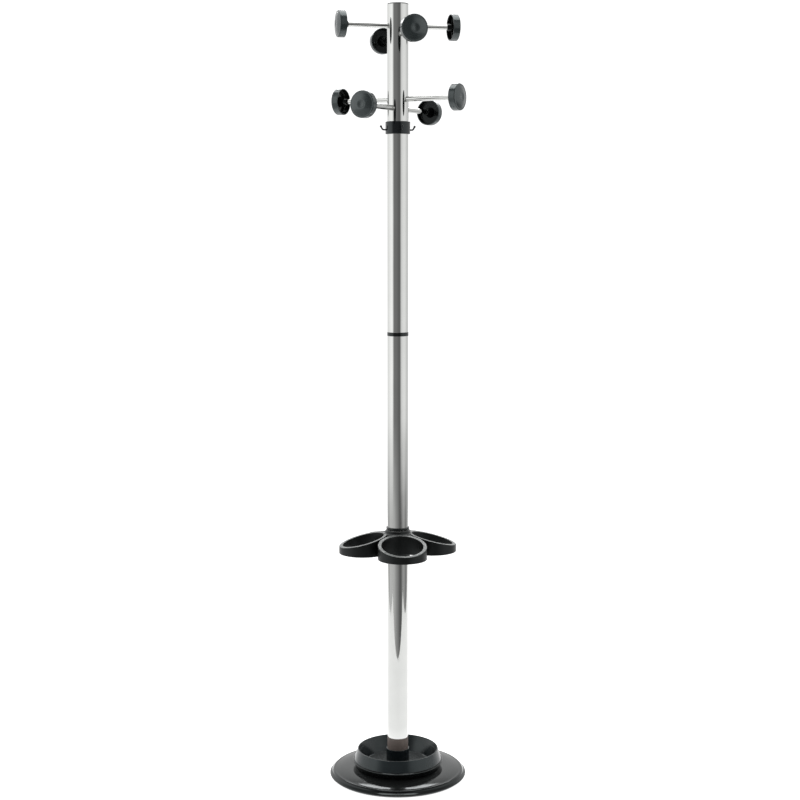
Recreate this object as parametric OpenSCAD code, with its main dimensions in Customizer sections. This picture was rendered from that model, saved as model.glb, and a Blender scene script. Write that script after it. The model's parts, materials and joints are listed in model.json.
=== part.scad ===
// Standing coat rack: a weighted round base with a drip tray, a pole in four chromed
// tubes, a turning umbrella holder, a turning ring of small hooks, and a turning head
// with eight pegs in two tiers.
// Frame: +Z up, origin on the floor at the centre of the base. The upper pegs lie
// along X and Y, the lower pegs on the diagonals.

/* [Pole] */
// Height of the whole rack
rack_h = 1780; // [1700:10:1860]
// Outside diameter of the chromed tubes
tube_d = 48; // [46:0.5:50]
// Wall of the chromed tubes
tube_wall = 1.5; // [1.2:0.1:2]
// Lower end of the bottom tube
lower_tube_z = 91; // [88:1:96]
// Underside of the collar that locks the umbrella holder
lock_z = 588.5; // [580:0.5:620]
// Underside of the band at the middle joint
band_z = 1039; // [1000:1:1080]
// Underside of the flange in the head joint
head_joint_z = 1500; // [1480:1:1505]

/* [Head] */
// Diameter of the peg rods
rod_d = 12; // [10:0.5:13]
// Height of the upper pegs that lie along X
upper_x_z = 1732; // [1728:1:1738]
// Height of the upper pegs that lie along Y
upper_y_z = 1712; // [1706:1:1714]
// Height of the first pair of lower pegs
lower_a_z = 1570; // [1568:1:1576]
// Height of the second pair of lower pegs
lower_b_z = 1550; // [1546:1:1552]
// Pole axis to the back edge of an upper knob
upper_reach = 122.3; // [115:0.1:126]
// Pole axis to the back edge of a lower knob
lower_reach = 142; // [130:1:150]
// Diameter of a knob
knob_d = 59; // [52:0.5:64]
// Length of a knob's rim
knob_rim = 15.4; // [13:0.1:18]

/* [Hook ring] */
// Underside of the ring of small hooks
hook_ring_z = 1493; // [1485:1:1494]
// Height of the ring
hook_ring_h = 28; // [25:1:32]
// Diameter of the ring
hook_ring_d = 56; // [54:0.5:60]
// Pole axis to the tip of a small hook
hook_reach = 41; // [39:0.5:46]

/* [Umbrella holder] */
// Underside of the umbrella holder
holder_z = 535.6; // [530:0.1:545]
// Inside diameter of an umbrella ring
ring_in_d = 94.6; // [88:0.1:98]
// Outside diameter of an umbrella ring
ring_out_d = 112; // [108:0.5:113]
// Pole axis to the centre of an umbrella ring
ring_reach = 80.7; // [80:0.1:84]
// Fall of the holder's top face, outwards
ring_slope = 14.6; // [12:0.1:16]
// Turn of the holder about the pole
holder_turn = -8; // [-45:1:45]

/* [Base] */
// Largest diameter of the base
base_d = 320; // [300:2:340]
// Height of the base's top face at its centre
base_top_z = 22; // [21:0.5:24]
// Height of the drip tray's rim
tray_rim_z = 63.5; // [60:0.5:68]
// Diameter of the drip tray's rim
tray_rim_d = 186; // [180:1:192]
// Widest diameter of the tray seat
seat_d = 212; // [208:1:216]
// Height of the rubber feet
foot_h = 2; // [2:0.5:3]

/* [Hidden] */
$fn = 96;
tube_r = tube_d / 2;
bore_r = tube_r - tube_wall;
fit = 0.06;              // radial running clearance
gap = 0.3;               // clearance between faces that turn past each other
rod_r = rod_d / 2;
far = 400;               // longer than anything that it cuts

// Pole levels
lock_lip_z = lock_z + 2;
lock_top_z = lock_z + 6;
band_top_z = band_z + 8;
head_joint_h = 2;
cap_h = 2;
head_tube_z = head_joint_z + head_joint_h + gap;
cap_z = rack_h - cap_h;
spigot_l = 38;

// Knobs, with the local +Z axis pointing out along the peg
knob_r = knob_d / 2;
knob_dome = 5;           // rise of the face over the rim, without the dish
knob_wall = 3;
knob_face = 4;
hub_back = 8;            // how far the hub stands out behind the rim
hub_r = 11.5;
hub_tip_r = 7;
knob_edge_r = 3.2;
dish_r = 12;             // shallow dish in the middle of the face
dish_h = 1.8;
groove_r = 8.2;          // fine ring in the dish
groove_w = 0.8;
groove_h = 0.4;
stud_r = 4;
stud_l = 10;
rod_seat = 2;            // the rod's shoulder, in front of the knob's back edge
insert_r = 6.5;
set_screw_r = 3;

// Head joint
head_flange_r = 25.3;    // flange inside the hook ring

// Umbrella holder
ring_in_r = ring_in_d / 2;
ring_out_r = ring_out_d / 2;
holder_hub_r = 29.6;
holder_top_z = lock_z - gap;
ring_plane_z = 587.2;    // height of the sloping top face where it meets the axis
ring_skin = 2.6;
stop_h = 10.5;
stop_r = 28.4;
stop_z = holder_z - gap - stop_h;
stop_screw_r = 2.5;
lock_neck_r = 25.4;
lock_lip_r = 26.8;

// Base
base_r = base_d / 2;
cover_wall = 3;
flat_r = 100;            // the top face is level inside this radius
top_edge_r = base_r - 14;
top_edge_z = base_top_z - 5;
dome_w = top_edge_r - flat_r;
dome_fall = base_top_z - top_edge_z + 0.6;
roll_r = 7;              // radius of the rolled edge
flare_r = 2.6;           // radius of the outermost edge
boss_r = 5.5;
pilot_r = 1.8;           // hole for a plate screw
bolt_hole_r = 5.5;
bolt_r = 5;
hex_r = 9.2;             // corner radius of the bolt's head and of its nut
plate_z = foot_h;
plate_h = 1.5;
screw_circle_r = 70;
foot_circle_r = 132;
weight_z = 3.8;
socket_r = 24.5;
seat_r = seat_d / 2;
seat_foot_r = seat_r - 7;
seat_lip_z = 34;
seat_top_z = 37.5;
seat_floor = 2.7;
tray_rim_r = tray_rim_d / 2;
tray_floor_r = 76;
tray_floor_z = 27.6;
tray_skin = 2.4;
chimney_r = 26.8;

// Knob name, its direction about the pole, its height and its reach
KNOBS = [
    ["knob_upper_right", 0, upper_x_z, upper_reach],
    ["knob_upper_rear", 90, upper_y_z, upper_reach],
    ["knob_upper_left", 180, upper_x_z, upper_reach],
    ["knob_upper_front", 270, upper_y_z, upper_reach],
    ["knob_lower_right_rear", 45, lower_b_z, lower_reach],
    ["knob_lower_left_rear", 135, lower_a_z, lower_reach],
    ["knob_lower_left_front", 225, lower_b_z, lower_reach],
    ["knob_lower_right_front", 315, lower_a_z, lower_reach]
];

// Points of an arc about c, from angle a to angle b
function arc(c, r, a, b, n = 10) =
    [for (i = [0:n]) c + r * [cos(a + (b - a) * i / n), sin(a + (b - a) * i / n)]];

module tube(z0, z1, r_out, r_in) {
    translate([0, 0, z0]) difference() {
        cylinder(h = z1 - z0, r = r_out);
        translate([0, 0, -1]) cylinder(h = z1 - z0 + 2, r = r_in);
    }
}

// Puts its children at a height, turned to point out along a peg
module along_peg(direction, z, reach) {
    translate([0, 0, z]) rotate([0, 0, direction]) translate([reach, 0, 0])
        rotate([0, 90, 0]) children();
}

// A straight hole right through the pole
module cross_bore(direction, z) {
    along_peg(direction, z, -far / 2) cylinder(h = far, r = rod_r + 0.05);
}

// ---- Base ----

// Height of the base's top face: level, then falling to the rolled edge
function base_top(r) =
    r < flat_r ? base_top_z : base_top_z - dome_fall * pow((r - flat_r) / dome_w, 2);

// Half section of the cover's outside (inset 0) or of its hollow (inset = the wall)
module cover_outline(inset) {
    polygon(concat(
        [[0, base_top_z - inset], [flat_r, base_top_z - inset]],
        [for (i = [1:8]) let (r = flat_r + dome_w * i / 8)
            [r - inset * 0.2, base_top(r) - inset]],
        arc([top_edge_r + 1.4 - inset * 0.2, base_top(top_edge_r) - roll_r],
            roll_r - inset * 0.9, 74, 28, 6),
        arc([base_r - flare_r, 6], flare_r - inset * 0.4, 40, -20, 5),
        [[base_r - 3.4 - inset, plate_z], [0, plate_z]]
    ));
}

module base_cover() {
    color([0.09, 0.1, 0.1]) {
        difference() {
            rotate_extrude() cover_outline(0);
            difference() {
                translate([0, 0, -0.01]) rotate_extrude() cover_outline(cover_wall);
                for (a = [45:90:315]) rotate([0, 0, a])
                    translate([screw_circle_r, 0, 0]) cylinder(h = 30, r = boss_r);
            }
            translate([0, 0, -1]) cylinder(h = 40, r = bolt_hole_r);
            translate([0, 0, -1]) cylinder(h = plate_z + plate_h + 1.2, r = base_r - 7);
            for (a = [45:90:315]) rotate([0, 0, a])
                translate([screw_circle_r, 0, 0]) cylinder(h = 16, r = pilot_r);
        }
    }
}

module base_weight() {
    color([0.2, 0.2, 0.2]) difference() {
        rotate_extrude() polygon([
            [bolt_hole_r, weight_z + 7.6], [18, weight_z + 7.6], [18, weight_z], [142, weight_z],
            [144, weight_z + 2], [144, 9], [138, 12.5], [60, 15.5], [40, 18.7], [bolt_hole_r, 18.7]
        ]);
        for (a = [45:90:315]) rotate([0, 0, a])
            translate([screw_circle_r, 0, 0]) cylinder(h = 30, r = boss_r + 1);
    }
}

module base_plate() {
    color([0.15, 0.15, 0.15]) difference() {
        translate([0, 0, plate_z]) cylinder(h = plate_h, r = base_r - 7.3);
        translate([0, 0, plate_z - 1]) cylinder(h = plate_h + 2, r = 20);
        for (a = [45:90:315]) rotate([0, 0, a]) translate([screw_circle_r, 0, plate_z]) {
            translate([0, 0, -1]) cylinder(h = 4, r = 2.1);
            translate([0, 0, -0.01]) cylinder(h = 1.21, r1 = 4.2, r2 = 2.1);
        }
    }
}

module base_feet() {
    color([0.12, 0.12, 0.12]) for (a = [0:60:300]) rotate([0, 0, a])
        translate([foot_circle_r, 0, 0]) rotate_extrude()
            polygon([[0, 0], [8.4, 0], [9, 0.6], [9, foot_h], [0, foot_h]]);
}

module plate_screws() {
    color([0.7, 0.7, 0.72]) for (a = [45:90:315]) rotate([0, 0, a])
        translate([screw_circle_r, 0, plate_z]) {
            cylinder(h = 1.15, r1 = 4.0, r2 = 2.0);
            cylinder(h = 12, r = 1.75);
        }
}

module tray_seat() {
    z = base_top_z;
    color([0.07, 0.08, 0.08]) rotate_extrude() polygon(concat(
        [[26, z], [seat_foot_r - 2, z], [seat_foot_r, z + 1], [seat_r - 1.2, seat_lip_z]],
        arc([seat_r - 1.2, seat_lip_z + 1.7], 1.2, -60, 60, 5),
        [[seat_r - 2, seat_top_z], [seat_r - 5.2, seat_top_z], [seat_r - 5.4, seat_lip_z],
         [seat_foot_r - 4, z + seat_floor], [26, z + seat_floor]]
    ));
}

module drip_tray() {
    rim = tray_rim_r;
    skirt = seat_r - 3.6;
    z0 = seat_top_z + 0.1;
    t = tray_skin;
    color([0.12, 0.13, 0.13]) rotate_extrude() polygon(concat(
        [[skirt, z0], [rim, tray_rim_z - 1.4]],
        arc([rim - 1.3, tray_rim_z - 1.3], 1.3, 10, 170, 8),
        [[tray_floor_r + 2, tray_floor_z + 2], [tray_floor_r - 1, tray_floor_z],
         [chimney_r + 2, tray_floor_z], [chimney_r, tray_floor_z + 2],
         [chimney_r, tray_rim_z - 0.6], [chimney_r - 0.6, tray_rim_z],
         [socket_r + 0.4, tray_rim_z], [socket_r + 0.4, tray_floor_z - t],
         [tray_floor_r, tray_floor_z - t], [tray_floor_r + 3.5, tray_floor_z + 0.4],
         [rim - 4.2, tray_rim_z - 8], [rim - 1.5, tray_rim_z - 8], [skirt - t, z0]]
    ));
}

module pole_socket() {
    color([0.3, 0.27, 0.25]) difference() {
        union() {
            translate([0, 0, base_top_z]) cylinder(h = lower_tube_z - base_top_z, r = socket_r);
            translate([0, 0, lower_tube_z]) cylinder(h = spigot_l, r = bore_r - 0.05);
        }
        translate([0, 0, base_top_z - 1]) cylinder(h = 200, r = bolt_r + 0.3);
        translate([0, 0, lower_tube_z + 4]) cylinder(h = 60, r = hex_r + 0.3, $fn = 6);
    }
}

module base_bolt() {
    color([0.72, 0.73, 0.75]) {
        translate([0, 0, 3]) cylinder(h = 6.4, r = hex_r, $fn = 6);
        translate([0, 0, 9]) cylinder(h = 98, r = bolt_r);
    }
}

module base_washer() {
    color([0.75, 0.76, 0.78]) tube(9.4, 11.3, 15, bolt_r + 0.25);
}

module anchor_nut() {
    color([0.72, 0.73, 0.75]) translate([0, 0, lower_tube_z + 4.1]) difference() {
        cylinder(h = 8, r = hex_r, $fn = 6);
        translate([0, 0, -1]) cylinder(h = 10, r = bolt_r + 0.05);
    }
}

// ---- Pole ----

module lower_tube() {
    color([0.85, 0.86, 0.88]) tube(lower_tube_z, lock_z, tube_r, bore_r);
}

module middle_tube() {
    color([0.85, 0.86, 0.88]) tube(lock_top_z, band_z, tube_r, bore_r);
}

module upper_tube() {
    color([0.85, 0.86, 0.88]) tube(band_top_z, head_joint_z, tube_r, bore_r);
}

// A moulded plug that joins two tubes: a hollow spigot each way from a flange
module joiner(z0, z1, flange, up = spigot_l) {
    color([0.1, 0.1, 0.1]) difference() {
        union() {
            translate([0, 0, z0 - spigot_l])
                cylinder(h = z1 - z0 + spigot_l + up, r = bore_r - 0.05);
            rotate_extrude() polygon(concat([[0, z0]], flange, [[0, z1]]));
        }
        translate([0, 0, z0 - spigot_l - 1]) cylinder(h = 300, r = bore_r - 4);
    }
}

module lower_joiner() {
    r = lock_lip_r;
    joiner(lock_z, lock_top_z, [
        [lock_neck_r, lock_z], [lock_neck_r, lock_lip_z], [r - 0.4, lock_lip_z + 0.3],
        [r, lock_lip_z + 0.8], [r, lock_top_z - 0.5], [r - 0.5, lock_top_z]
    ]);
}

module middle_joiner() {
    r = tube_r + 0.5;
    joiner(band_z, band_top_z, [
        [r - 0.4, band_z], [r, band_z + 0.4], [r, band_top_z - 0.4], [r - 0.4, band_top_z]
    ]);
}

module upper_joiner() {
    z1 = head_joint_z + head_joint_h;
    joiner(head_joint_z, z1, [[head_flange_r, head_joint_z], [head_flange_r, z1]], 20);
}

module stop_ring() {
    color([0.1, 0.1, 0.1]) difference() {
        tube(stop_z, stop_z + stop_h, stop_r, tube_r + 0.05);
        for (a = [0, 180]) along_peg(a + holder_turn, stop_z + stop_h / 2, 0)
            cylinder(h = 40, r = stop_screw_r + 0.05);
    }
}

module stop_ring_screws() {
    color([0.3, 0.3, 0.32]) for (a = [0, 180])
        along_peg(a + holder_turn, stop_z + stop_h / 2, tube_r + 0.02) difference() {
            cylinder(h = 4.1, r = stop_screw_r);
            translate([0, 0, 2]) cylinder(h = 5, r = 1.4, $fn = 6);
        }
}

// ---- Umbrella holder ----

// Everything below the sloping top face of the ring that points along +X
module below_slope(drop) {
    translate([0, 0, ring_plane_z - drop]) rotate([0, ring_slope, 0])
        translate([-far / 2, -far / 2, -far]) cube(far);
}

module umbrella_ring() {
    intersection() {
        translate([ring_reach, 0, 0]) tube(holder_z, ring_plane_z, ring_out_r, ring_in_r);
        below_slope(0);
    }
}

// The hollow on the underside of a ring
module ring_channel() {
    intersection() {
        translate([ring_reach, 0, 0])
            tube(holder_z - 1, ring_plane_z, ring_out_r - ring_skin, ring_in_r + ring_skin);
        below_slope(ring_skin);
    }
}

module umbrella_holder() {
    r = holder_hub_r;
    color([0.09, 0.09, 0.09]) rotate([0, 0, holder_turn]) difference() {
        union() {
            rotate_extrude() polygon([
                [0, holder_z], [r + 3, holder_z], [r + 3, 574], [r, 580], [r - 0.7, 584],
                [r - 1.8, 587], [r - 3, holder_top_z], [0, holder_top_z]
            ]);
            for (a = [0:90:270]) rotate([0, 0, a]) umbrella_ring();
        }
        for (a = [0:90:270]) rotate([0, 0, a]) {
            difference() {
                ring_channel();
                cylinder(h = rack_h, r = r + 1);
            }
            translate([ring_reach, 0, holder_z - 1]) cylinder(h = 80, r = ring_in_r);
        }
        translate([0, 0, holder_z - 1]) cylinder(h = 80, r = tube_r + fit);
    }
}

// ---- Hook ring ----

// One small hook: a round bar that leaves the ring level and turns up and out
module small_hook() {
    bar_r = 1.9;
    bend_r = 4.5;
    rise = 62;
    z = hook_ring_z + 9.8;
    bend_x = hook_reach - 8.3;
    tip_l = 5.5;
    translate([26, 0, z]) rotate([0, 90, 0]) cylinder(h = bend_x - 26, r = bar_r);
    translate([bend_x, 0, z + bend_r]) rotate([90, 0, 0]) rotate([0, 0, -90])
        rotate_extrude(angle = rise) translate([bend_r, 0]) circle(r = bar_r);
    translate([bend_x, 0, z + bend_r]) rotate([0, -rise, 0]) translate([0, 0, -bend_r]) {
        rotate([0, 90, 0]) cylinder(h = tip_l, r = bar_r);
        translate([tip_l, 0, 0]) sphere(r = bar_r + 0.3);
    }
}

module hook_ring() {
    r = hook_ring_d / 2;
    z = hook_ring_z;
    top = z + hook_ring_h;
    color([0.07, 0.08, 0.1]) difference() {
        union() {
            rotate_extrude() polygon(concat(
                [[0, z], [r - 2.2, z]], arc([r - 2.2, z + 2.2], 2.2, -80, 0, 6),
                arc([r - 1.2, top - 1.2], 1.2, 0, 90, 5), [[0, top]]
            ));
            for (a = [0:90:270]) rotate([0, 0, a]) small_hook();
        }
        translate([0, 0, z - 1]) cylinder(h = hook_ring_h + 2, r = tube_r + fit);
        translate([0, 0, head_joint_z - gap])
            cylinder(h = head_joint_h + 2 * gap, r = head_flange_r + gap);
    }
}

// ---- Head ----

module head_tube() {
    color([0.85, 0.86, 0.88]) difference() {
        tube(head_tube_z, cap_z, tube_r, bore_r);
        cross_bore(0, upper_x_z);
        cross_bore(90, upper_y_z);
        cross_bore(135, lower_a_z);
        cross_bore(45, lower_b_z);
    }
}

module head_cap() {
    color([0.12, 0.12, 0.12]) difference() {
        rotate_extrude() polygon([
            [0, cap_z - 15], [bore_r - 0.05, cap_z - 15], [bore_r - 0.05, cap_z],
            [tube_r, cap_z], [tube_r, rack_h - 0.9], [tube_r - 0.9, rack_h], [0, rack_h]
        ]);
        translate([0, 0, cap_z - 16]) cylinder(h = 14, r = bore_r - 3);
    }
}

// A solid plug inside the head tube that carries two crossing rods
module rod_core(z0, z1, low_z, low_turn, high_z, high_turn) {
    color([0.45, 0.45, 0.47]) difference() {
        translate([0, 0, z0]) cylinder(h = z1 - z0, r = bore_r - 0.1);
        cross_bore(low_turn, low_z);
        cross_bore(high_turn, high_z);
        translate([0, 0, z0 - 1]) cylinder(h = low_z - z0 + 1, r = set_screw_r + 0.05);
        translate([0, 0, high_z]) cylinder(h = z1 - high_z + 1, r = set_screw_r + 0.05);
    }
}

module upper_rod_core() {
    rod_core(upper_y_z - 22, upper_x_z + 20, upper_y_z, 90, upper_x_z, 0);
}

module lower_rod_core() {
    rod_core(lower_b_z - 22, lower_a_z + 20, lower_b_z, 45, lower_a_z, 135);
}

// A set screw that bears on a rod from below (side -1) or from above (side 1)
module set_screw(rod_z, side) {
    translate([0, 0, rod_z]) mirror([0, 0, side < 0 ? 1 : 0])
        translate([0, 0, rod_r + 0.02]) difference() {
            cylinder(h = 12, r = set_screw_r);
            translate([0, 0, 8]) cylinder(h = 5, r = 1.7, $fn = 6);
        }
}

module rod_set_screws() {
    color([0.3, 0.3, 0.32]) {
        set_screw(upper_x_z, 1);
        set_screw(upper_y_z, -1);
        set_screw(lower_a_z, 1);
        set_screw(lower_b_z, -1);
    }
}

module rod(direction, z, reach) {
    body_l = reach + rod_seat;
    color([0.85, 0.86, 0.88]) along_peg(direction, z, 0) {
        translate([0, 0, -body_l]) cylinder(h = 2 * body_l, r = rod_r);
        translate([0, 0, -body_l - stud_l]) cylinder(h = 2 * (body_l + stud_l), r = stud_r);
    }
}

// Height of a knob's face over the end of its rim, at radius q
face_r = knob_r - 1.8;
function knob_top(q) = knob_dome - (knob_dome + 0.4) * pow(q / face_r, 2.2)
    - (q < dish_r ? dish_h * (1 - pow(q / dish_r, 2)) : 0);

module knob(direction, z, reach) {
    r = knob_r;
    face_z = knob_rim - knob_face;
    steps = 18;
    color([0.16, 0.19, 0.2]) along_peg(direction, z, reach) difference() {
        rotate_extrude() polygon(concat(
            [[rod_r + 0.05, -hub_back], [hub_tip_r - 0.6, -hub_back],
             [hub_tip_r, -hub_back + 0.8], [hub_r, face_z - 1], [hub_r + 1, face_z],
             [r - knob_wall - 1.5, face_z], [r - knob_wall, face_z - 1.5],
             [r - knob_wall + 0.4, 0.4], [r - knob_wall + 0.8, 0], [r - 0.8, 0], [r, 0.8],
             [r, knob_rim - knob_edge_r]],
            arc([r - knob_edge_r, knob_rim - knob_edge_r], knob_edge_r, 10, 62, 6),
            [for (i = [1:steps]) let (q = face_r * (1 - i / steps))
                [q, knob_rim + knob_top(q)]],
            [[0, rod_seat], [rod_r + 0.05, rod_seat]]
        ));
        translate([0, 0, rod_seat - 0.01]) cylinder(h = stud_l + 0.3, r = insert_r + 0.05);
        tube(knob_rim + knob_top(groove_r) - groove_h, knob_rim + knob_dome + 3, groove_r,
            groove_r - groove_w);
    }
}

module knob_inserts() {
    color([0.8, 0.68, 0.4]) for (k = KNOBS) along_peg(k[1], k[2], k[3])
        tube(rod_seat + 0.1, rod_seat + stud_l, insert_r, stud_r + 0.05);
}

base_cover();
base_weight();
base_plate();
base_feet();
plate_screws();
tray_seat();
drip_tray();
pole_socket();
base_bolt();
base_washer();
anchor_nut();
lower_tube();
middle_tube();
upper_tube();
lower_joiner();
middle_joiner();
upper_joiner();
stop_ring();
stop_ring_screws();
umbrella_holder();
hook_ring();
head_tube();
head_cap();
upper_rod_core();
lower_rod_core();
rod_set_screws();
rod(0, upper_x_z, upper_reach);  // upper_rod_x
rod(90, upper_y_z, upper_reach);  // upper_rod_y
rod(135, lower_a_z, lower_reach);  // lower_rod_a
rod(45, lower_b_z, lower_reach);  // lower_rod_b
knob_inserts();
for (k = KNOBS) knob(k[1], k[2], k[3]);
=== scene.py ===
# %% [markdown]
# # A standing coat rack
#
# The rack has a weighted round base with a drip tray, a pole in four chromed tubes, an
# umbrella holder that turns, a ring of small hooks, and a head with eight pegs. The exact
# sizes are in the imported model. This notebook gives each piece its real roundings and its
# finish, and then sets up a small photo studio round it.

import json
import math

import bpy
from mathutils import Matrix, Vector


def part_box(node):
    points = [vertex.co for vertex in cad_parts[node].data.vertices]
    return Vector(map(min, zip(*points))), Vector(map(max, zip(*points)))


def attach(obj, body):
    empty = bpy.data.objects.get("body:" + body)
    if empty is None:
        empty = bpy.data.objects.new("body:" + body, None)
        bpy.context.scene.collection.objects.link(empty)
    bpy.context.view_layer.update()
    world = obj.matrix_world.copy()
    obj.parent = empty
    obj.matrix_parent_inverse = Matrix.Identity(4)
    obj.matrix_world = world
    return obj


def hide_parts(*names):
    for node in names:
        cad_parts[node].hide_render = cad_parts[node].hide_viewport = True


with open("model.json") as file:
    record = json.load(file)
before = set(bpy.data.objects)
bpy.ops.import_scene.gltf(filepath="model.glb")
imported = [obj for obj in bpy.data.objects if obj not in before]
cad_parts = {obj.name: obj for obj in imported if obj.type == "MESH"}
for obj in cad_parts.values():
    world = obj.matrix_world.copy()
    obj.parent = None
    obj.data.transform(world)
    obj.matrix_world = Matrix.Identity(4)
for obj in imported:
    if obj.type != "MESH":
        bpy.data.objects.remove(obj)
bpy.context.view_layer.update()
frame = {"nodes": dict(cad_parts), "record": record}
MM = 0.001

# %% [markdown]
# ## Sizes
#
# A piece is drawn from the box of the part that it stands for. `levels` gives the two
# heights of a part, and `radius` the radius of a round one, both in millimetres, because
# that is how a maker would measure them.


# %% Measure the parts
def levels(node):
    low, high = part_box(node)
    return low.z / MM, high.z / MM


def radius(node):
    low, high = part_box(node)
    return max(high.x - low.x, high.y - low.y) / 2 / MM


TUBE_R = radius("lower_tube")
BORE_R = TUBE_R - 1.5
PLUG_R = BORE_R - 0.05
print("tube radius:", round(TUBE_R, 2), "mm")

# %% [markdown]
# ## Colours and nodes
#
# Colours are written as sRGB hex values, as a paint chart gives them. Blender mixes light in
# linear values, so one function turns them. `add` makes one node in any tree: it sets the
# node's options, its values and its links.


# %% Two small helpers
def linear(hex_colour):
    parts = [int(hex_colour[i : i + 2], 16) / 255 for i in (0, 2, 4)]
    curved = [c / 12.92 if c <= 0.04045 else ((c + 0.055) / 1.055) ** 2.4 for c in parts]
    return (*curved, 1.0)


def add(tree, kind, values=None, **options):
    node = tree.nodes.new(kind)
    for name, value in options.items():
        setattr(node, name, value)
    for socket, value in (values or {}).items():
        if isinstance(value, bpy.types.NodeSocket):
            tree.links.new(value, node.inputs[socket])
        else:
            node.inputs[socket].default_value = value
    return node


print("a mid grey in linear light:", round(linear("808080")[0], 3))

# %% [markdown]
# ## Moulded plastic
#
# Most of the rack is injection moulded. The steel mould leaves its own surface on the
# plastic: polished for a gloss part, spark eroded for a satin one. Up close the plastic is
# never one colour. The pigment is a little cloudy, the skin has a fine grain, and handling
# leaves patches that shine more or less. The faces that look up are painted a lighter grey in
# specks, which is partly dust and scuffs and partly painted light from above.
#
# All of that can come from noise at different sizes. One function builds it, and each
# plastic gives its own colours, gloss and grain. A noise texture with a scale of 1 / size
# has spots of about that size, so the sizes are real ones in millimetres. The reflections of
# these blacks are a little cool, which the specular tint gives. The Mix node keeps its colour
# sockets at 6, 7 and, for the result, 2.

# %% The moulded plastic recipe
MIX_A, MIX_B, MIXED = 6, 7, 2
CLOUD_MM = 38
HANDLING_MM = 22
SPECK_MM = 3
# a light grey for dust that also paints light from above onto faces that look up
DUST_AND_TOP_LIGHT_GREY = "B9BCBB"
COOL = "E6F0F0"
LOOKS_UP = 0.55  # the least upward part of a normal that still gets dust and painted top light
PLASTIC_IOR = 1.5
MEAN_NOISE = 0.5


def moulded(
    name, dark, light, gloss, dull, grain_mm, grain_depth_mm, dust_and_top_light=0.05, specular=0.5
):
    material = bpy.data.materials.new(name)
    material.use_nodes = True
    tree = material.node_tree
    shader = tree.nodes["Principled BSDF"]
    place = add(tree, "ShaderNodeTexCoord").outputs["Object"]

    cloud = add(
        tree, "ShaderNodeTexNoise", {"Vector": place, "Scale": 1 / (CLOUD_MM * MM), "Detail": 5.0}
    )
    pigment = add(
        tree,
        "ShaderNodeMix",
        {0: cloud.outputs["Fac"], MIX_A: linear(dark), MIX_B: linear(light)},
        data_type="RGBA",
    )

    speck = add(
        tree, "ShaderNodeTexNoise", {"Vector": place, "Scale": 1 / (SPECK_MM * MM), "Detail": 6.0}
    )
    normal = add(tree, "ShaderNodeNewGeometry").outputs["Normal"]
    facing = add(tree, "ShaderNodeSeparateXYZ", {0: normal})
    upward = add(
        tree,
        "ShaderNodeMapRange",
        {"Value": facing.outputs["Z"], "From Min": LOOKS_UP, "From Max": 1.0,
         "To Max": dust_and_top_light / MEAN_NOISE},
    )
    # painted top light and dust: faces that look up are mixed towards a light grey in specks
    dust_and_top_light_mask = add(
        tree,
        "ShaderNodeMath",
        {0: upward.outputs[0], 1: speck.outputs["Fac"]},
        operation="MULTIPLY",
    )
    colour = add(
        tree,
        "ShaderNodeMix",
        {0: dust_and_top_light_mask.outputs[0], MIX_A: pigment.outputs[MIXED], MIX_B: linear(DUST_AND_TOP_LIGHT_GREY)},
        data_type="RGBA",
    )
    tree.links.new(colour.outputs[MIXED], shader.inputs["Base Color"])

    touched = add(
        tree,
        "ShaderNodeTexNoise",
        {"Vector": place, "Scale": 1 / (HANDLING_MM * MM), "Detail": 3.0, "Distortion": 0.6},
    )
    shine = add(
        tree,
        "ShaderNodeMapRange",
        {"Value": touched.outputs["Fac"], "From Min": 0.3, "From Max": 0.7, "To Min": gloss,
         "To Max": dull},
    )
    tree.links.new(shine.outputs[0], shader.inputs["Roughness"])

    grain = add(
        tree, "ShaderNodeTexNoise", {"Vector": place, "Scale": 1 / (grain_mm * MM), "Detail": 3.0}
    )
    bump = add(
        tree,
        "ShaderNodeBump",
        {"Height": grain.outputs["Fac"], "Distance": grain_depth_mm * MM, "Strength": 1.0},
    )
    tree.links.new(bump.outputs["Normal"], shader.inputs["Normal"])
    shader.inputs["IOR"].default_value = PLASTIC_IOR
    shader.inputs["Specular IOR Level"].default_value = specular
    shader.inputs["Specular Tint"].default_value = linear(COOL)
    return material


# %% [markdown]
# The base, the tray's seat and the collars are ABS from a polished mould. Its gloss shows as
# sharp reflections that waver a little, which is the orange peel of the cooling skin. The
# umbrella holder is polypropylene from a spark eroded mould: its grain is about 0.3 mm, too
# fine to show, so it is drawn at 0.9 mm. Its upper faces, the rims most, are painted the
# lightest grey of all, which is mostly painted light from above and a little dust. The knobs
# are nylon in a slate grey with a smooth, waxy shine, and their hollow is painted in a darker,
# glossier nylon, which is painted shade. The drip tray is charcoal with a half gloss, and its
# faces that look up, such as the floor, are painted a little lighter grey. The foot of the pole
# is nylon filled with glass fibre, which turns it a brownish grey with a dry surface.

# %% The plastics
GLOSS_ABS = moulded("gloss_abs", "090A0A", "0F1111", 0.06, 0.13, 7.0, 0.012, dust_and_top_light=0.015)
COLLAR_ABS = moulded("collar_abs", "0E1013", "171A1E", 0.05, 0.11, 5.0, 0.006, dust_and_top_light=0.02)
# painted top light: the high upward grey here paints the holder's rims lighter, mostly as light from
# above and a little as dust
SATIN_PP = moulded(
    "satin_polypropylene", "0A0A0A", "101111", 0.30, 0.40, 0.9, 0.010, dust_and_top_light=0.48, specular=0.32
)
TRAY_ABS = moulded("tray_abs", "161B1D", "20272A", 0.16, 0.26, 3.0, 0.008, dust_and_top_light=0.14)
SLATE_NYLON = moulded(
    "slate_nylon", "23292B", "2E3536", 0.16, 0.26, 1.2, 0.008, specular=0.95
)
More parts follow.
